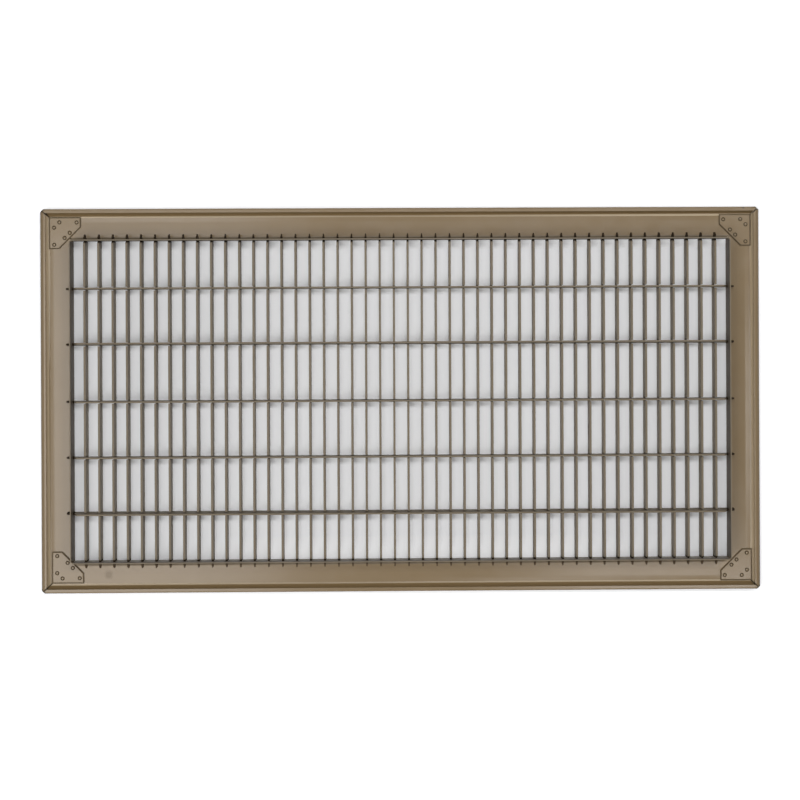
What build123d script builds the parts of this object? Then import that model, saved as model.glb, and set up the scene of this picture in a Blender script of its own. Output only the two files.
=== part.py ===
from build123d import *
from math import radians, sin, cos, sqrt, tan
import os

# Steel floor grille for a return air duct, lying on its face. The face plane is Z = 0, +Z points
# into the duct, +X runs along the long side, and the origin is the middle of the face. Millimetres.

# Floor opening that the collar drops into, and how the frame covers it
opening_length = 609.6
opening_width = 304.8
collar_clearance = 6.35
flange_overlap = 22.0

# Frame rails, each folded from one sheet, with a wider hem on the short sides
sheet = 1.0
collar_depth = 19.0
rim_height = 7.0
bevel_angle = 43.0
long_hem_width = 3.7
short_hem_width = 4.9
fold_radius = 0.3
crease_radius = 5.0
bend_radius = 0.8
corner_cut = 3.0
collar_end_gap = 1.5
collar_end_step = 3.0

# Corners, counter-clockwise, and how far each mitre stands open
corner_names = ("front_left", "front_right", "back_right", "back_left")
mitre_gaps = (0.03, 0.03, 0.6, 0.03)

# Corner plates over the mitres, each seated a little differently from the creases of its short
# and long rims
plate_thickness = 1.0
plate_end = 9.1
plate_collar_gap = 0.1
plate_crease_gaps = ((3.1, 3.0), (1.1, 1.9), (1.0, 1.1), (1.7, 1.7))

# Fins across the short side
fin_spacing = 12.7
fin_thickness = 1.9
fin_recess = 0.4
fin_web = 3.0
fin_shoulder = 2.0
fin_tab_depth = 5.5
fin_tab_drop = 1.0

# Cross bars along the long side, each leaning and standing a little off its even place
bar_spacing = 50.8
bar_thickness = 1.5
bar_depth = 9.5
bar_shoulder = 3.6
bar_tab_depth = 5.7
bar_leans = (-10.0, -2.0, -3.0, 8.0, 3.0)
bar_drifts = (-0.35, -0.45, -0.6, 0.8, 0.3)

# Tabs through the collar slots, each staked by a nick just outside the wall
tab_reach = 4.9
tab_nick_length = 1.3
tab_nick_depth = 1.5
tab_tip_cut = 1.2
fin_tab_point = 0.8
fit_gap = 0.1

# Frame outline and the collar inside it
frame_length = opening_length + 2 * flange_overlap
frame_width = opening_width + 2 * flange_overlap
flange_reach = flange_overlap + collar_clearance
collar_length = frame_length - 2 * flange_reach
collar_width = frame_width - 2 * flange_reach
inside_length = collar_length - 2 * sheet
inside_width = collar_width - 2 * sheet

# Folded section after the hem's free edge, from the outer edge inwards: the hem fold, the crease
# between bevel and flange, the collar bend and the collar's back edge
fold_outer = fold_radius + sheet
crease_outer = crease_radius + sheet
bend_outer = bend_radius + sheet
fold_set_back = fold_outer * (1 / tan(radians(bevel_angle / 2)) - 1)
rim_crease = rim_height / tan(radians(bevel_angle)) - fold_set_back
crease_reach = crease_outer * tan(radians(bevel_angle / 2))
section_points = (
    (-fold_set_back, rim_height),
    (rim_crease, 0),
    (flange_reach + sheet, 0),
    (flange_reach + sheet, collar_depth),
)
section_radii = (fold_outer, crease_outer, bend_outer)

# Room that a bar needs when it leans as far as any of them does
most_lean = radians(max(abs(lean) for lean in bar_leans))
lean_rise = bar_thickness / 2 * sin(most_lean)
notch_width = bar_depth * sin(most_lean) + bar_thickness * cos(most_lean) + 2 * fit_gap
notch_depth = bar_depth + lean_rise + fit_gap

# Heights of the fins, the bars and their tabs
fin_back = fin_recess + fin_web + notch_depth
fin_tab_top = fin_back - fin_tab_drop
fin_tab_bottom = fin_tab_top - fin_tab_depth
fin_tab_middle = (fin_tab_top + fin_tab_bottom) / 2
bar_middle = fin_back - bar_depth / 2
bar_tab_middle = fin_back - bar_depth + bar_tab_depth / 2

# Where the fins stand along X and the bars along Y, as many as fill the collar
fin_count = int(inside_length // fin_spacing)
bar_count = int(inside_width // bar_spacing)
fin_places = [(index - (fin_count - 1) / 2) * fin_spacing for index in range(fin_count)]
bar_places = [
    (index - (bar_count - 1) / 2) * bar_spacing + bar_drifts[index % len(bar_drifts)]
    for index in range(bar_count)
]

os.makedirs("parts", exist_ok=True)

# Frame rails: the folded section run along each side, mitred, with slots for the tabs. Each rail
# starts at the corner of its own turn and runs on to the next corner.
up = Vector(0, 0, 1)
fin_slot = (fin_thickness + 2 * fit_gap, fin_tab_depth + 2 * fit_gap)
bar_slot = (notch_width, bar_tab_depth + 2 * (lean_rise + fit_gap))
long_side = (frame_width / 2, frame_length / 2, long_hem_width, fin_places, fin_tab_middle, fin_slot)
short_side = (frame_length / 2, frame_width / 2, short_hem_width, bar_places, bar_tab_middle, bar_slot)
rail_sides = {
    "frame_rail_front": (Vector(0, 1, 0), long_side),
    "frame_rail_right": (Vector(-1, 0, 0), short_side),
    "frame_rail_back": (Vector(0, -1, 0), long_side),
    "frame_rail_left": (Vector(1, 0, 0), short_side),
}

for turn, (rail_name, (inward, side)) in enumerate(rail_sides.items()):
    half_across, half_along, hem_width, slot_places, slot_middle, slot_size = side
    along = inward.cross(up)
    facing = along.X + along.Y
    outer_edge = inward * -half_across
    wall_face = outer_edge + inward * (flange_reach + sheet)
    next_turn = (turn + 1) % len(corner_names)
    collar_end = half_along - flange_reach

    with BuildPart() as rail:
        with BuildSketch(Plane(outer_edge, x_dir=inward, z_dir=along)):
            with BuildLine():
                FilletPolyline((hem_width, rim_height), *section_points, radius=section_radii)
                offset(amount=sheet, side=Side.LEFT)
            make_face()
        extrude(amount=half_along, both=True)

        for end, mitre_gap in ((along * -1, mitre_gaps[turn]), (along, mitre_gaps[next_turn])):
            corner = outer_edge + end * half_along
            mitre = (end + inward).normalized()
            split(bisect_by=Plane(corner - mitre * (mitre_gap / 2), z_dir=mitre), keep=Keep.BOTTOM)
            tip = (end - inward).normalized()
            split(bisect_by=Plane(corner - tip * (corner_cut / sqrt(2)), z_dir=tip), keep=Keep.BOTTOM)

        with BuildSketch(Plane(wall_face, x_dir=along, z_dir=inward * -1)):
            with Locations(*[(facing * place, slot_middle) for place in slot_places]):
                Rectangle(*slot_size)
            with Locations((-collar_end, collar_depth), (collar_end, collar_depth)):
                Rectangle(2 * collar_end_gap, 2 * (collar_depth - collar_end_step))
        extrude(amount=sheet, mode=Mode.SUBTRACT)

    rail.part.label = rail_name
    export_step(rail.part, f"parts/{rail_name}.step")

# Corner plates: a square with its inner corner cut off, clear of the collar's bend at the corner.
# They lie just over the curve of the crease, where the nearest of them reaches onto it.
inner_flange = flange_reach - bend_radius - rim_crease
widest_gaps = max(sum(gaps) for gaps in plate_crease_gaps)
plate_cut = 2 * inner_flange - widest_gaps - plate_collar_gap * sqrt(2)
plate_size = plate_cut - plate_end
onto_curve = max(0, crease_reach - min(min(gaps) for gaps in plate_crease_gaps))
plate_bottom = sheet + crease_radius - sqrt(crease_radius**2 - onto_curve**2) + fit_gap

for turn, side_name in enumerate(corner_names):
    first_arm = Vector(1, 0, 0).rotate(Axis.Z, 90 * turn)
    second_arm = first_arm.rotate(Axis.Z, 90)
    diagonal = first_arm + second_arm
    short_gap, long_gap = plate_crease_gaps[turn]
    plate_corner = Vector(
        diagonal.X * (rim_crease + short_gap - frame_length / 2),
        diagonal.Y * (rim_crease + long_gap - frame_width / 2),
        plate_bottom,
    )

    with BuildPart() as plate:
        with BuildSketch(Plane(plate_corner, x_dir=first_arm)):
            with BuildLine():
                Polyline(
                    (0, 0),
                    (plate_size, 0),
                    (plate_size, plate_end),
                    (plate_end, plate_size),
                    (0, plate_size),
                    close=True,
                )
            make_face()
        extrude(amount=plate_thickness)

    plate.part.label = f"corner_plate_{side_name}"
    export_step(plate.part, f"parts/corner_plate_{side_name}.step")

# Fins: notched strips whose end tabs pass through the long collar walls and taper to a point
fin_end = inside_width / 2 - fit_gap
fin_nick_end = collar_width / 2 + tab_nick_length
fin_tip = collar_width / 2 + tab_reach
fin_nick = fin_tab_top - tab_nick_depth
point_length = fin_tip - fin_nick_end
point_cut = (fin_thickness - fin_tab_point) / 2
tab_corners = ((1, 1), (1, -1), (-1, 1), (-1, -1))

for number, fin_x in enumerate(fin_places, 1):
    with BuildPart() as fin:
        with BuildSketch(Plane.YZ.offset(fin_x)):
            with BuildLine():
                Polyline(
                    (0, fin_recess),
                    (fin_end, fin_recess),
                    (fin_end, fin_tab_bottom),
                    (fin_tip, fin_tab_bottom),
                    (fin_tip, fin_tab_top - tab_tip_cut),
                    (fin_tip - tab_tip_cut, fin_tab_top),
                    (fin_nick_end, fin_tab_top),
                    (fin_nick_end, fin_nick),
                    (fin_end, fin_nick),
                    (fin_end - fin_shoulder, fin_back),
                    (0, fin_back),
                )
                mirror(about=Plane.YZ)
            make_face()
            with Locations(*[(bar_y, fin_back) for bar_y in bar_places]):
                Rectangle(notch_width, notch_depth, align=(Align.CENTER, Align.MAX), mode=Mode.SUBTRACT)
        extrude(amount=fin_thickness / 2, both=True)

        for face_side, end in tab_corners:
            taper_start = (fin_x + face_side * fin_thickness / 2, end * fin_nick_end, 0)
            outward = Vector(face_side * point_length, end * point_cut, 0)
            split(bisect_by=Plane(taper_start, z_dir=outward), keep=Keep.BOTTOM)

    fin.part.label = f"fin_{number:02d}"
    export_step(fin.part, f"parts/fin_{number:02d}.step")

# Cross bars: plain strips in the fins' notches, with end tabs through the short collar walls
bar_end = inside_length / 2 - fit_gap
bar_nick_end = collar_length / 2 + tab_nick_length
bar_tip = collar_length / 2 + tab_reach
bar_front = -bar_depth / 2
bar_tab_top = bar_front + bar_tab_depth
bar_nick = bar_tab_top - tab_nick_depth

for index, bar_y in enumerate(bar_places):
    lean = radians(bar_leans[index % len(bar_leans)])
    bar_plane = Plane((0, bar_y, bar_middle), x_dir=(1, 0, 0), z_dir=(0, -cos(lean), sin(lean)))
    with BuildPart() as bar:
        with BuildSketch(bar_plane):
            with BuildLine():
                Polyline(
                    (0, bar_front),
                    (bar_tip, bar_front),
                    (bar_tip, bar_tab_top - tab_tip_cut),
                    (bar_tip - tab_tip_cut, bar_tab_top),
                    (bar_nick_end, bar_tab_top),
                    (bar_nick_end, bar_nick),
                    (bar_end, bar_nick),
                    (bar_end - bar_shoulder, -bar_front),
                    (0, -bar_front),
                )
                mirror(about=Plane.YZ)
            make_face()
        extrude(amount=bar_thickness / 2, both=True)

    bar.part.label = f"cross_bar_{index + 1}"
    export_step(bar.part, f"parts/cross_bar_{index + 1}.step")
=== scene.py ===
import math

import bmesh
import bpy
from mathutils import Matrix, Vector


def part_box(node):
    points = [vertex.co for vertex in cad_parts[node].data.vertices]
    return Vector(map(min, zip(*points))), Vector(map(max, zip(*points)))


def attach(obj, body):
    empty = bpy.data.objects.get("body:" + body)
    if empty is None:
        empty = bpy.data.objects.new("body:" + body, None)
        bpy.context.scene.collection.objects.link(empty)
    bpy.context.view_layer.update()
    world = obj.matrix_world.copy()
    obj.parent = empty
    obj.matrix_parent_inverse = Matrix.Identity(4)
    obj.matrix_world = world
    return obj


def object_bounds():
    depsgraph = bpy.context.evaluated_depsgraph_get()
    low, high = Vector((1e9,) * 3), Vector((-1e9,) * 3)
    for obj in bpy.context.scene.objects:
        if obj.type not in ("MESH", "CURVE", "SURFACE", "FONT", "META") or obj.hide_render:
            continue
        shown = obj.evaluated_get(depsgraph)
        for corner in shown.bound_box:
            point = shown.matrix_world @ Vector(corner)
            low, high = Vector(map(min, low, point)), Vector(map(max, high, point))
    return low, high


METRE = 1.0
MM = 0.001 * METRE
AXIS_X, AXIS_Y, AXIS_Z = range(3)

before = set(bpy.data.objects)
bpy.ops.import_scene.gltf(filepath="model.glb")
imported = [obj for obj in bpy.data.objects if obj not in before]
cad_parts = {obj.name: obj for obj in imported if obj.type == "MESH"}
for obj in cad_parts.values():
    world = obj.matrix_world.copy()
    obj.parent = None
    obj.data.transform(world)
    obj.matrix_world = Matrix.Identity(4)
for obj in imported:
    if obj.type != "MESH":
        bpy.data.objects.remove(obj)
cad_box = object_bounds()
scene = bpy.context.scene
scene.view_settings.view_transform = "Standard"

# Paint tones, linear
PAINT_LIGHT = (0.232, 0.168, 0.096, 1.0)
PAINT_DARK = (0.200, 0.143, 0.079, 1.0)
STRIP_LIGHT = (0.180, 0.147, 0.103, 1.0)
STRIP_DARK = (0.148, 0.118, 0.081, 1.0)
WALL_LIGHT = (0.108, 0.084, 0.060, 1.0)
WALL_DARK = (0.086, 0.067, 0.047, 1.0)
GROOVE_LIGHT = (0.085, 0.058, 0.028, 1.0)
GROOVE_DARK = (0.050, 0.034, 0.016, 1.0)
EDGE_LIGHT = (0.190, 0.155, 0.108, 1.0)
EDGE_DARK = (0.160, 0.128, 0.088, 1.0)
CREASE_HIGHLIGHT = (0.430, 0.345, 0.235, 1.0)
LONG_BEVEL_SHADE = (0.165, 0.106, 0.042, 1.0)
SHORT_BEVEL_LIGHT = (0.380, 0.290, 0.180, 1.0)
SEAM_LIGHT = (0.420, 0.330, 0.220, 1.0)
SEAM_DARK = (0.360, 0.280, 0.180, 1.0)
BORDER_SHADE = (0.090, 0.062, 0.030, 1.0)
TAB_SHADE = (0.028, 0.017, 0.007, 1.0)
GRIME_AND_SHADE = (0.060, 0.042, 0.020, 1.0)
PAINTED_LIGHT = (0.340, 0.245, 0.138, 1.0)
LIT_WALL = (0.300, 0.265, 0.225, 1.0)
FRONT_TAB_SHADE = (0.085, 0.058, 0.032, 1.0)
FLOOR = (0.87, 0.88, 0.90, 1.0)
WHITE = (1.0, 1.0, 1.0, 1.0)

# How rough the surfaces are, and how strongly they mirror
PAINT_ROUGHNESS = 0.21
STRIP_ROUGHNESS = 0.5
GROOVE_ROUGHNESS = 0.45
BARE_ROUGHNESS = 0.85
PAINT_GLOSS = 0.5
STRIP_GLOSS = 0.2
WALL_GLOSS = 0.15

# Baked enamel: mottled tones, patches of more and less gloss, and orange peel
MOTTLE = {"Scale": 22.0, "Detail": 4.0, "Roughness": 0.55}
PATCHES = {"Scale": 60.0, "Detail": 3.0}
PATCH_SPAN = (0.3, 0.7)
PATCH_ROUGHNESS = 0.03
PEEL = {"Scale": 700.0, "Detail": 2.0}
PEEL_STRENGTH = 0.12
PEEL_HEIGHT = 0.1 * MM

# Outer edges of the frame, and outside faces of the collar, whose walls are one sheet thick
SHEET = 1.0 * MM
FRAME_HALF_LENGTH, FRAME_HALF_WIDTH, _ = cad_box[1]
COLLAR_HALF_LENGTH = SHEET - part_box("frame_rail_left")[1][AXIS_X]
COLLAR_HALF_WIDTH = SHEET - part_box("frame_rail_front")[1][AXIS_Y]

# Where the strips' ends start to be painted dark as shade, by distance from the collar's outside
TAB_ROOT = -2.4 * MM

# Painted light on the flange beside the collar, most of all along the front: where it fades out and where
# it is full, by distance from the collar, and how far it hides the paint
PALE_FADE = 9.0 * MM
PALE_FULL = 2.0 * MM
PALE_COVER = 0.3
FRONT_LIGHT = (11.0 * MM, 3.0 * MM, 1.0)

# Painted shade on the flange in front of the collar, and the tab ends there painted less dark, given in the
# same way, and where these bands end
FRONT_SHADE = (4.8 * MM, 3.6 * MM, 0.6)
FRONT_TABS = (1.2 * MM, 1.7 * MM, 1.0)
FRONT_END = (COLLAR_HALF_LENGTH + 1.0 * MM, COLLAR_HALF_LENGTH - 4.0 * MM)

# Painted reflection of the pale floor on the front wall's inner face, lighter towards the floor, between
# these heights
FACE_MARGIN = 0.3 * MM
WALL_SHADE = (22.0 * MM, 7.0 * MM)

# Painted shade in the bend along the collar's foot, by distance from the collar
FOOT_FADE = 3.2 * MM
FOOT_FULL = 1.4 * MM
FOOT_COVER = 0.85

# Dark mitre lines, by how far the distances from the two outer edges differ
MITRE_FADE = 1.15 * MM
MITRE_FULL = 0.6 * MM

# Darker ends of the rails at the cut-off corners, by the sum of the distances from the outer edges
CUT_FADE = 5.2 * MM
CUT_FULL = 4.2 * MM
CUT_COVER = 0.8

# Width of a corner plate's ends, and its border painted dark as the shade of the gap under its edges, by
# distance from its outline
PLATE_END = 9.1 * MM
BORDER_FADE = 1.2 * MM
BORDER_FULL = 0.8 * MM

# Sine of the slope where the flange turns into the crease and the crease into the bevel, and the
# height the bevel ends at
CREASE_SLOPE = (0.06, 0.16)
BEVEL_SLOPE = (0.40, 0.48)
SLOPE_TOP = 5.0 * MM

# The crease's painted highlight is weaker towards the middle of the long rails
CREASE_MIDDLE = -30.0 * MM
CREASE_SPREAD = (20.0 * MM, 260.0 * MM)
CREASE_COVER = (0.3, 0.95)

# A chip and a smudge on the frame: place, radius and how far they hide the paint, which they do in
# full over a share of the radius
MARKS = (
    ((312.6 * MM, 173.4 * MM, 6.9 * MM), 1.3 * MM, 0.9),
    ((-267.0 * MM, -158.5 * MM, 1.0 * MM), 4.5 * MM, 0.25),
)
MARK_CORE = 0.5

# The flange curls up towards the crease, by distance from the frame's outer edge
CURL_START = 12.5 * MM
CURL_END = 5.0 * MM
LONG_CURL = 0.25 * MM
SHORT_CURL = 0.8 * MM

# The short sides' hems, above this height, are crowned: width, and fall at the outer and at the
# inner edge, going inwards
HEM_HEIGHT = 6.5 * MM
SHORT_HEM = 4.9 * MM
OUTER_FALL = -0.9
INNER_FALL = 0.25

# Sharp edges are rounded a little, as paint and pressing leave them
EDGE_ROUND = 0.15 * MM
ROUND_STEPS = 2
SHARP_ANGLE = math.radians(35)
MERGE_REACH = 0.001 * MM

# Upright faces of the collar are dull and get a darker copy of the paint as painted shade, and its back
# edge is painted a little lighter than them, as it catches more light
COLLAR_MARGIN = 0.5 * MM
UPRIGHT = 0.3
BACK_EDGE = 18.5 * MM
FRAME_SLOT, WALL_SLOT, EDGE_SLOT = range(3)

# Clinch buttons: six on each corner plate, each a pressed ring round a raised flat, in millimetres
RING_PROFILE = ((1.95, 0.0), (1.85, 0.10), (1.70, 0.10), (1.50, 0.02), (1.25, 0.02), (0.95, 0.36))
FLAT_PROFILE = ((0.95, 0.36), (0.85, 0.43), (0.50, 0.46), (0.0, 0.46))
BUTTON_SIDES = 32
BUTTON_PLACES = ((9.4, 4.6), (25.0, 4.7), (18.8, 14.1))
FLAT_SLOT, RING_SLOT = range(2)

# Paint that has run into the open mitre, by distance from both outer edges and by height, in
# millimetres
SEAM_LINE = ((1.4, 4.5), (5.4, 0.9), (7.6, 0.5), (28.3, 0.5))
SEAM_HALF = 0.24 * MM

# The floor lies just under the face, and away from the grille it glows until it is white
FLOOR_REACH = 30.0 * METRE
FLOOR_DROP = 0.1 * MM
FLOOR_SPREAD = (0.45 * METRE, 2.5 * METRE)
FLOOR_GLOW = (0.28, 1.0)

# The floor seen through the grille glows a little more in the middle, along the front and, the more
# so to the right, along the back
CELL_GLOW = 0.05
MIDDLE_GLOW = 0.06
FRONT_GLOW = 0.14
CELL_MIDDLE = 20.0 * MM
CELL_SPREAD = (260.0 * MM, 120.0 * MM)
CELL_FRONT = (-124.0 * MM, -142.0 * MM)
CELL_BACK = (136.5 * MM, 142.5 * MM)
BACK_STRETCH = (-150.0 * MM, 270.0 * MM)
BACK_GLOW = (0.03, 0.22)

# A dim room, with white walls near the horizon where the camera looks past the floor, up to this
# sine of the elevation
ROOM_LEVEL = 0.05
WALL_LEVEL = 1.0
WALL_TOP = 0.35

# Softboxes overhead, facing straight down: the stretches of X and Y that each hangs over, in metres,
# and how bright it is
LAMP_HEIGHT = 1.45 * METRE
SOFTBOXES = {
    "softbox_left": ((-1.30, -0.23), (-1.50, 0.27), 3.6),
    "softbox_front_right": ((0.29, 0.80), (-0.70, -0.39), 6.0),
    "softbox_back": ((-0.23, 1.60), (0.40, 0.80), 8.0),
    "softbox_over": ((0.15, 0.43), (-0.27, 0.06), 4.0),
}

# Camera, fitted to the photograph's outline and fins: over the grille, almost straight down
PIXELS = 800
SENSOR = 36.0
FOCAL_PIXELS = 1532.2
CENTRE_PIXEL = (410.5, 324.9)
CAMERA_PLACE = (-9.98 * MM, 67.91 * MM, 1400.0 * MM)
CAMERA_TURN = (0.0, math.radians(-0.769), math.radians(-0.271))


def node(tree, kind, **inputs):
    """Add a node, setting the named inputs to values or linking them to sockets."""
    made = tree.nodes.new(kind)
    for name, value in inputs.items():
        connect(tree, value, made.inputs[name.replace("_", " ")])
    return made


def connect(tree, value, socket):
    """Link a socket to another one, or set it to a plain value."""
    if isinstance(value, bpy.types.NodeSocket):
        tree.links.new(value, socket)
    else:
        socket.default_value = value


def math_node(tree, operation, *values):
    """One step of arithmetic on sockets or numbers."""
    made = tree.nodes.new("ShaderNodeMath")
    made.operation = operation
    for value, socket in zip(values, made.inputs):
        connect(tree, value, socket)
    return made.outputs["Value"]


def subtract(tree, first, second):
    return math_node(tree, "SUBTRACT", first, second)


def multiply(tree, first, second):
    return math_node(tree, "MULTIPLY", first, second)


def absolute(tree, value):
    return math_node(tree, "ABSOLUTE", value)


def mix_value(tree, factor, first, second):
    """Blend two numbers, each a socket or a plain value."""
    return node(tree, "ShaderNodeMix", Factor=factor, A=first, B=second).outputs["Result"]


def mix_colour(tree, factor, first, second):
    """Blend two colours, each a socket or a plain value."""
    made = tree.nodes.new("ShaderNodeMix")
    made.data_type = "RGBA"
    connect(tree, factor, made.inputs["Factor"])
    for value, identifier in ((first, "A_Color"), (second, "B_Color")):
        socket = next(s for s in made.inputs if s.identifier == identifier)
        connect(tree, value, socket)
    return next(s for s in made.outputs if s.identifier == "Result_Color")


def map_range(tree, value, span, levels):
    """Go from the first level to the second while the value crosses the span."""
    made = node(
        tree, "ShaderNodeMapRange", Value=value,
        From_Min=span[0], From_Max=span[1], To_Min=levels[0], To_Max=levels[1],
    )
    return made.outputs["Result"]


def ramp(tree, value, low, high):
    """0 up to the low value, 1 from the high value on."""
    return map_range(tree, value, (low, high), (0.0, 1.0))


def split_axes(tree, vector):
    """The X, Y and Z of a vector."""
    made = node(tree, "ShaderNodeSeparateXYZ", Vector=vector)
    return made.outputs["X"], made.outputs["Y"], made.outputs["Z"]


def from_edges(tree, place):
    """Distances from the frame's outer edges, at the short and the long sides."""
    x, y, _ = split_axes(tree, place)
    from_end = subtract(tree, FRAME_HALF_LENGTH, absolute(tree, x))
    from_side = subtract(tree, FRAME_HALF_WIDTH, absolute(tree, y))
    return from_end, from_side


def past_collar(tree, place):
    """Distance outside the collar, negative inside it."""
    x, y, _ = split_axes(tree, place)
    past_end = subtract(tree, absolute(tree, x), COLLAR_HALF_LENGTH)
    past_side = subtract(tree, absolute(tree, y), COLLAR_HALF_WIDTH)
    return math_node(tree, "MAXIMUM", past_end, past_side)


def past_front(tree, place):
    """Distance in front of the collar, negative behind its front face."""
    _, y, _ = split_axes(tree, place)
    return subtract(tree, -COLLAR_HALF_WIDTH, y)


# Layers over the paint, each giving how far it hides what is under it, its tone and its roughness


def shaded_tabs(tree, place):
    """Strip ends are painted dark as the shade in their nicks and on their sides, from just inside the
    collar on.
    """
    cover = math_node(tree, "GREATER_THAN", past_collar(tree, place), TAB_ROOT)
    return cover, TAB_SHADE, BARE_ROUGHNESS


def sloped(axis, tone, slopes):
    """Painted light and shade on the faces of the rim that slope along one axis of the normal."""
    def layer(tree, place):
        normal = split_axes(tree, tree.nodes.new("ShaderNodeNewGeometry").outputs["Normal"])
        _, _, height = split_axes(tree, place)
        slope = ramp(tree, absolute(tree, normal[axis]), *slopes)
        low = math_node(tree, "LESS_THAN", height, SLOPE_TOP)
        upward = math_node(tree, "GREATER_THAN", normal[AXIS_Z], 0.0)
        return multiply(tree, slope, multiply(tree, low, upward)), tone, BARE_ROUGHNESS
    return layer


def crease_highlight(tree, place):
    """Painted highlight: the pale crease between flange and bevel on the long rails, where the curl mirrors
    the lamps.
    """
    cover, tone, dullness = sloped(AXIS_Y, CREASE_HIGHLIGHT, CREASE_SLOPE)(tree, place)
    x, _, _ = split_axes(tree, place)
    off_middle = absolute(tree, subtract(tree, x, CREASE_MIDDLE))
    share = map_range(tree, off_middle, CREASE_SPREAD, CREASE_COVER)
    return multiply(tree, cover, share), tone, dullness


def front_band(start, full, strength, tone, dullness):
    """A band along the front of the collar, by distance from it."""
    def layer(tree, place):
        distance = past_front(tree, place)
        cover = multiply(tree, ramp(tree, distance, start, full), strength)
        x, _, _ = split_axes(tree, place)
        between_ends = ramp(tree, absolute(tree, x), *FRONT_END)
        in_front = multiply(tree, math_node(tree, "GREATER_THAN", distance, 0.0), between_ends)
        return multiply(tree, cover, in_front), tone, dullness
    return layer


def lit_foot(tree, place):
    """Painted light: the flange is paler towards the collar, lifting the shade there."""
    cover = ramp(tree, past_collar(tree, place), PALE_FADE, PALE_FULL)
    return multiply(tree, cover, PALE_COVER), PAINTED_LIGHT, PAINT_ROUGHNESS


def front_wall_reflection(tree, place):
    """Painted reflection: the inner face of the front wall is lighter towards the floor, which it mirrors.
    """
    off_face = absolute(tree, math_node(tree, "ADD", past_front(tree, place), SHEET))
    on_face = math_node(tree, "LESS_THAN", off_face, FACE_MARGIN)
    _, _, height = split_axes(tree, place)
    return multiply(tree, on_face, ramp(tree, height, *WALL_SHADE)), LIT_WALL, STRIP_ROUGHNESS


def wall_foot_shade(tree, place):
    """Painted shade in the bend between flange and collar."""
    cover = ramp(tree, past_collar(tree, place), FOOT_FADE, FOOT_FULL)
    return multiply(tree, cover, FOOT_COVER), GRIME_AND_SHADE, BARE_ROUGHNESS


def mitre_lines(tree, place):
    """A dark line along each mitre."""
    off_line = absolute(tree, subtract(tree, *from_edges(tree, place)))
    return ramp(tree, off_line, MITRE_FADE, MITRE_FULL), GRIME_AND_SHADE, BARE_ROUGHNESS


def cut_ends(tree, place):
    """The rails' ends are darker where the corners are cut off."""
    reach = math_node(tree, "ADD", *from_edges(tree, place))
    return multiply(tree, ramp(tree, reach, CUT_FADE, CUT_FULL), CUT_COVER), GRIME_AND_SHADE, BARE_ROUGHNESS


def mark(centre, radius, strength):
    """A small chip or smudge."""
    def layer(tree, place):
        gap = node(tree, "ShaderNodeVectorMath", Vector=place)
        gap.operation = "DISTANCE"
        gap.inputs[1].default_value = centre
        cover = ramp(tree, gap.outputs["Value"], radius, MARK_CORE * radius)
        return multiply(tree, cover, strength), GRIME_AND_SHADE, BARE_ROUGHNESS
    return layer


def shaded_border(corner, x_sign, y_sign, size):
    """A dark border painted round a corner plate as the shade of the gap under its edges; its outer corner
    is given.
    """
    def layer(tree, place):
        x, y, _ = split_axes(tree, place)
        u = multiply(tree, subtract(tree, corner.x, x), x_sign)
        v = multiply(tree, subtract(tree, corner.y, y), y_sign)
        inset = math_node(tree, "MINIMUM", u, v)
        for far_side in (u, v):
            inset = math_node(tree, "MINIMUM", inset, subtract(tree, size, far_side))
        from_cut = subtract(tree, size + PLATE_END, math_node(tree, "ADD", u, v))
        inset = math_node(tree, "MINIMUM", inset, math_node(tree, "DIVIDE", from_cut, math.sqrt(2)))
        return ramp(tree, inset, BORDER_FADE, BORDER_FULL), BORDER_SHADE, BARE_ROUGHNESS
    return layer


def rail_form(tree, place):
    """Height in metres of the flange's curl and of the crowned short hems."""
    from_end, from_side = from_edges(tree, place)
    on_short = math_node(tree, "LESS_THAN", from_end, from_side)
    curl = node(
        tree, "ShaderNodeMapRange", Value=math_node(tree, "MINIMUM", from_end, from_side),
        From_Min=CURL_START, From_Max=CURL_END, To_Max=mix_value(tree, on_short, LONG_CURL, SHORT_CURL),
    )
    curl.interpolation_type = "SMOOTHSTEP"

    bend = (INNER_FALL - OUTER_FALL) / (2 * SHORT_HEM)
    fall = math_node(tree, "MULTIPLY_ADD", from_end, bend, OUTER_FALL)
    _, _, height = split_axes(tree, place)
    on_hem = math_node(tree, "GREATER_THAN", height, HEM_HEIGHT)
    crown = multiply(tree, multiply(tree, fall, from_end), multiply(tree, on_hem, on_short))
    return subtract(tree, curl.outputs["Result"], crown)


def paint_material(name, light, dark, roughness, gloss_level, layers=(), form=None):
    """Baked enamel under the given layers, shaded with a form's heights where one is given."""
    material = bpy.data.materials.new(name)
    material.use_nodes = True
    tree = material.node_tree
    shader = tree.nodes["Principled BSDF"]
    shader.inputs["Specular IOR Level"].default_value = gloss_level
    place = tree.nodes.new("ShaderNodeTexCoord").outputs["Object"]

    mottle = node(tree, "ShaderNodeTexNoise", Vector=place, **MOTTLE)
    colour = mix_colour(tree, mottle.outputs["Fac"], dark, light)
    patches = node(tree, "ShaderNodeTexNoise", Vector=place, **PATCHES)
    rough_levels = (roughness - PATCH_ROUGHNESS, roughness + PATCH_ROUGHNESS)
    dullness = map_range(tree, patches.outputs["Fac"], PATCH_SPAN, rough_levels)
    for layer in layers:
        cover, tone, dull = layer(tree, place)
        colour = mix_colour(tree, cover, colour, tone)
        dullness = mix_value(tree, cover, dullness, dull)
    tree.links.new(colour, shader.inputs["Base Color"])
    tree.links.new(dullness, shader.inputs["Roughness"])

    peel = node(tree, "ShaderNodeTexNoise", Vector=place, **PEEL)
    bump = node(
        tree, "ShaderNodeBump", Height=peel.outputs["Fac"], Strength=PEEL_STRENGTH, Distance=PEEL_HEIGHT,
    )
    if form:
        heights = form(tree, place)
        bump = node(tree, "ShaderNodeBump", Height=heights, Distance=METRE, Normal=bump.outputs["Normal"])
    tree.links.new(bump.outputs["Normal"], shader.inputs["Normal"])
    return material


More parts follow.
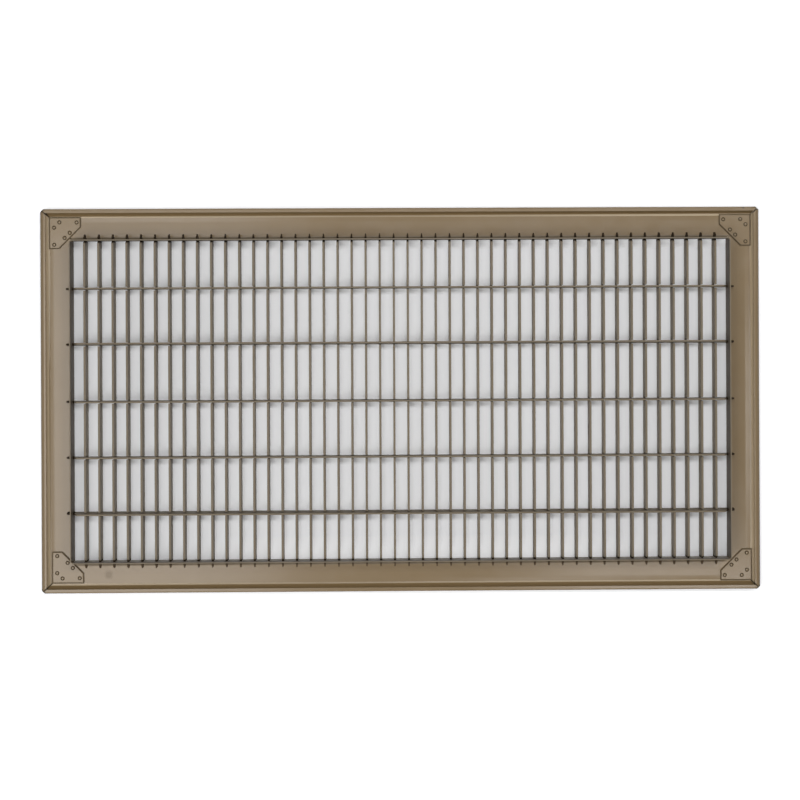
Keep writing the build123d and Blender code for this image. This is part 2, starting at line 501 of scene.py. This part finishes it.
frame_paint = paint_material(
    "frame_paint", PAINT_LIGHT, PAINT_DARK, PAINT_ROUGHNESS, PAINT_GLOSS,
    layers=(
        # Painted light beside the collar, and more of it along the front
        lit_foot,
        front_band(*FRONT_LIGHT, PAINTED_LIGHT, PAINT_ROUGHNESS),
        crease_highlight,
        # Painted shade on the long rails' bevels, which face away from the side lamps, and painted light on
        # the short rails' bevels, which face them
        sloped(AXIS_Y, LONG_BEVEL_SHADE, BEVEL_SLOPE),
        sloped(AXIS_X, SHORT_BEVEL_LIGHT, BEVEL_SLOPE),
        wall_foot_shade,
        # Painted shade along the front, just beyond the collar's foot
        front_band(*FRONT_SHADE, GRIME_AND_SHADE, BARE_ROUGHNESS),
        mitre_lines,
        cut_ends,
        *(mark(*values) for values in MARKS),
    ),
    form=rail_form,
)
# Painted shade: the collar's upright faces get a darker copy of the paint
shaded_wall_paint = paint_material(
    "shaded_wall_paint", WALL_LIGHT, WALL_DARK, STRIP_ROUGHNESS, WALL_GLOSS, layers=(front_wall_reflection,),
)
strip_paint = paint_material(
    "strip_paint", STRIP_LIGHT, STRIP_DARK, STRIP_ROUGHNESS, STRIP_GLOSS,
    # Painted shade on the strip ends, less dark on the tab ends in front of the collar
    layers=(shaded_tabs, front_band(*FRONT_TABS, FRONT_TAB_SHADE, BARE_ROUGHNESS)),
)
edge_paint = paint_material("edge_paint", EDGE_LIGHT, EDGE_DARK, STRIP_ROUGHNESS, STRIP_GLOSS)
seam_paint = paint_material("seam_paint", SEAM_LIGHT, SEAM_DARK, STRIP_ROUGHNESS, STRIP_GLOSS)
# Painted shade: the clinch buttons' pressed rings get a darker copy of the paint for the shade in their
# grooves
shaded_groove_paint = paint_material("shaded_groove_paint", GROOVE_LIGHT, GROOVE_DARK, GROOVE_ROUGHNESS, STRIP_GLOSS)

# Corner plates: where each one's outer corner is, and which way it points
plate_corners = {}
plate_paints = {}
for side_name, x_sign, y_sign in (
    ("front_left", -1, -1), ("front_right", 1, -1), ("back_right", 1, 1), ("back_left", -1, 1),
):
    low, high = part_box(f"corner_plate_{side_name}")
    corner = Vector(((high if x_sign > 0 else low)[0], (high if y_sign > 0 else low)[1], high[2]))
    plate_corners[side_name] = (corner, x_sign, y_sign)
    border = shaded_border(corner, x_sign, y_sign, high[0] - low[0])
    plate_paints[side_name] = paint_material(
        f"plate_paint_{side_name}", PAINT_LIGHT, PAINT_DARK, PAINT_ROUGHNESS, PAINT_GLOSS, layers=(border,),
    )


def rail_slot(polygon):
    """Material slot of one face of a rail: frame, wall or back edge."""
    inside = (
        abs(polygon.center.x) < COLLAR_HALF_LENGTH + COLLAR_MARGIN
        and abs(polygon.center.y) < COLLAR_HALF_WIDTH + COLLAR_MARGIN
    )
    if inside and polygon.center.z > BACK_EDGE:
        return EDGE_SLOT
    return WALL_SLOT if inside and abs(polygon.normal.z) < UPRIGHT else FRAME_SLOT


def soften(obj):
    """Round the sharp edges of a piece."""
    weld = obj.modifiers.new("weld", "WELD")
    weld.merge_threshold = MERGE_REACH
    rounding = obj.modifiers.new("soft_edges", "BEVEL")
    rounding.width = EDGE_ROUND
    rounding.segments = ROUND_STEPS
    rounding.limit_method = "ANGLE"
    rounding.angle_limit = SHARP_ANGLE
    rounding.harden_normals = True


for name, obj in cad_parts.items():
    obj.data.materials.clear()
    if name.startswith("frame_rail_"):
        for paint in (frame_paint, shaded_wall_paint, edge_paint):
            obj.data.materials.append(paint)
        for polygon in obj.data.polygons:
            polygon.material_index = rail_slot(polygon)
    elif name.startswith("corner_plate_"):
        obj.data.materials.append(plate_paints[name.removeprefix("corner_plate_")])
    else:
        obj.data.materials.append(strip_paint)
    soften(obj)


def add_object(name, data):
    """Put a new object in the scene."""
    made = bpy.data.objects.new(name, data)
    scene.collection.objects.link(made)
    return made


def lathe(mesh, centre, profile, slot):
    """Turn a profile of (radius, height) pairs about a vertical line through the centre."""
    turns = [2 * math.pi * k / BUTTON_SIDES for k in range(BUTTON_SIDES)]
    rings = []
    for radius, height in profile:
        if radius == 0.0:
            rings.append([mesh.verts.new(centre + Vector((0, 0, height)) * MM)])
            continue
        rings.append([
            mesh.verts.new(centre + Vector((radius * math.cos(turn), radius * math.sin(turn), height)) * MM)
            for turn in turns
        ])
    for low, high in zip(rings, rings[1:]):
        for k in range(BUTTON_SIDES):
            following = (k + 1) % BUTTON_SIDES
            upper = (high[0],) if len(high) == 1 else (high[following], high[k])
            face = mesh.faces.new((low[k], low[following], *upper))
            face.material_index = slot


# Clinch buttons
for side_name, (corner, x_sign, y_sign) in plate_corners.items():
    mesh = bmesh.new()
    for first, second in BUTTON_PLACES:
        for u, v in ((first, second), (second, first)):
            centre = corner - Vector((x_sign * u, y_sign * v, 0)) * MM
            lathe(mesh, centre, RING_PROFILE, RING_SLOT)
            lathe(mesh, centre, FLAT_PROFILE, FLAT_SLOT)
    bmesh.ops.remove_doubles(mesh, verts=mesh.verts, dist=MERGE_REACH)
    data = bpy.data.meshes.new(f"clinch_buttons_{side_name}")
    mesh.to_mesh(data)
    mesh.free()
    data.shade_smooth()
    buttons = add_object(f"clinch_buttons_{side_name}", data)
    data.materials.append(plate_paints[side_name])
    data.materials.append(shaded_groove_paint)
    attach(buttons, "root")

# Paint in the open mitre, a ribbon along the seam
seam_corner = Vector((FRAME_HALF_LENGTH, FRAME_HALF_WIDTH, 0))
seam_across = Vector((1, -1, 0)).normalized() * SEAM_HALF
seam_points = [seam_corner + Vector((-inset, -inset, height)) * MM for inset, height in SEAM_LINE]
seam_data = bpy.data.meshes.new("mitre_seam")
seam_data.from_pydata(
    [point + side * seam_across for point in seam_points for side in (-1, 1)],
    [],
    [(2 * k, 2 * k + 2, 2 * k + 3, 2 * k + 1) for k in range(len(SEAM_LINE) - 1)],
)
seam = add_object("mitre_seam", seam_data)
seam_data.materials.append(seam_paint)
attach(seam, "root")


def seen_rays(tree):
    """1 for rays that show a background: from the camera, or mirrored or let through by the object."""
    rays = tree.nodes.new("ShaderNodeLightPath")
    seen = math_node(tree, "MAXIMUM", rays.outputs["Is Camera Ray"], rays.outputs["Is Glossy Ray"])
    return math_node(tree, "MAXIMUM", seen, rays.outputs["Is Transmission Ray"])


def cell_glow(tree, place):
    """Glow of the floor inside the collar."""
    x, y, _ = split_axes(tree, place)
    in_middle = ramp(tree, absolute(tree, subtract(tree, x, CELL_MIDDLE)), *CELL_SPREAD)
    near_front = ramp(tree, y, *CELL_FRONT)
    gain = math_node(tree, "MULTIPLY_ADD", near_front, FRONT_GLOW, MIDDLE_GLOW)
    middle_glow = math_node(tree, "MULTIPLY_ADD", in_middle, gain, CELL_GLOW)
    near_back = ramp(tree, y, *CELL_BACK)
    back_gain = map_range(tree, x, BACK_STRETCH, BACK_GLOW)
    return math_node(tree, "MULTIPLY_ADD", near_back, back_gain, middle_glow)


def floor_material():
    """A pale floor that keeps the shadow. It is clear from below, so that the grille's face shows."""
    material = bpy.data.materials.new("pale_floor")
    material.use_nodes = True
    tree = material.node_tree
    tree.nodes.remove(tree.nodes["Principled BSDF"])
    place = tree.nodes.new("ShaderNodeTexCoord").outputs["Object"]
    away = node(tree, "ShaderNodeVectorMath", Vector=place)
    away.operation = "LENGTH"
    outer_glow = map_range(tree, away.outputs["Value"], FLOOR_SPREAD, FLOOR_GLOW)
    outside = math_node(tree, "GREATER_THAN", past_collar(tree, place), 0.0)
    glow_level = mix_value(tree, outside, cell_glow(tree, place), outer_glow)
    glow_strength = multiply(tree, glow_level, seen_rays(tree))

    diffuse = node(tree, "ShaderNodeBsdfDiffuse", Color=FLOOR)
    glow = node(tree, "ShaderNodeEmission", Color=WHITE, Strength=glow_strength)
    both = tree.nodes.new("ShaderNodeAddShader")
    tree.links.new(diffuse.outputs["BSDF"], both.inputs[0])
    tree.links.new(glow.outputs["Emission"], both.inputs[1])
    clear = tree.nodes.new("ShaderNodeBsdfTransparent")
    from_below = tree.nodes.new("ShaderNodeNewGeometry").outputs["Backfacing"]
    one_way = node(tree, "ShaderNodeMixShader", Fac=from_below)
    tree.links.new(both.outputs["Shader"], one_way.inputs[1])
    tree.links.new(clear.outputs["BSDF"], one_way.inputs[2])
    tree.links.new(one_way.outputs["Shader"], tree.nodes["Material Output"].inputs["Surface"])
    return material


# Floor
floor_data = bpy.data.meshes.new("floor")
floor_data.from_pydata(
    [(x * FLOOR_REACH, y * FLOOR_REACH, -FLOOR_DROP) for x, y in ((-1, -1), (1, -1), (1, 1), (-1, 1))],
    [],
    [(0, 1, 2, 3)],
)
floor = add_object("floor", floor_data)
floor_data.materials.append(floor_material())

# World
world = bpy.data.worlds.new("studio")
scene.world = world
world.use_nodes = True
tree = world.node_tree
background = tree.nodes["Background"]
background.inputs["Color"].default_value = WHITE
direction = tree.nodes.new("ShaderNodeTexCoord").outputs["Generated"]
_, _, height = split_axes(tree, direction)
is_wall = math_node(tree, "LESS_THAN", height, WALL_TOP)
room_light = mix_value(tree, multiply(tree, is_wall, seen_rays(tree)), ROOM_LEVEL, WALL_LEVEL)
tree.links.new(room_light, background.inputs["Strength"])

# Softboxes
for name, (x_range, y_range, radiance) in SOFTBOXES.items():
    lamp = bpy.data.lights.new(name, "AREA")
    lamp.shape = "RECTANGLE"
    lamp.size = x_range[1] - x_range[0]
    lamp.size_y = y_range[1] - y_range[0]
    lamp.energy = radiance * math.pi * lamp.size * lamp.size_y
    softbox = add_object(name, lamp)
    softbox.location = (sum(x_range) / 2, sum(y_range) / 2, LAMP_HEIGHT)

# Camera
camera_data = bpy.data.cameras.new("camera")
camera_data.sensor_width = SENSOR
camera_data.lens = SENSOR * FOCAL_PIXELS / PIXELS
camera_data.shift_x = (PIXELS / 2 - CENTRE_PIXEL[0]) / PIXELS
camera_data.shift_y = (CENTRE_PIXEL[1] - PIXELS / 2) / PIXELS
camera = add_object("camera", camera_data)
camera.location = CAMERA_PLACE
camera.rotation_euler = CAMERA_TURN
scene.camera = camera
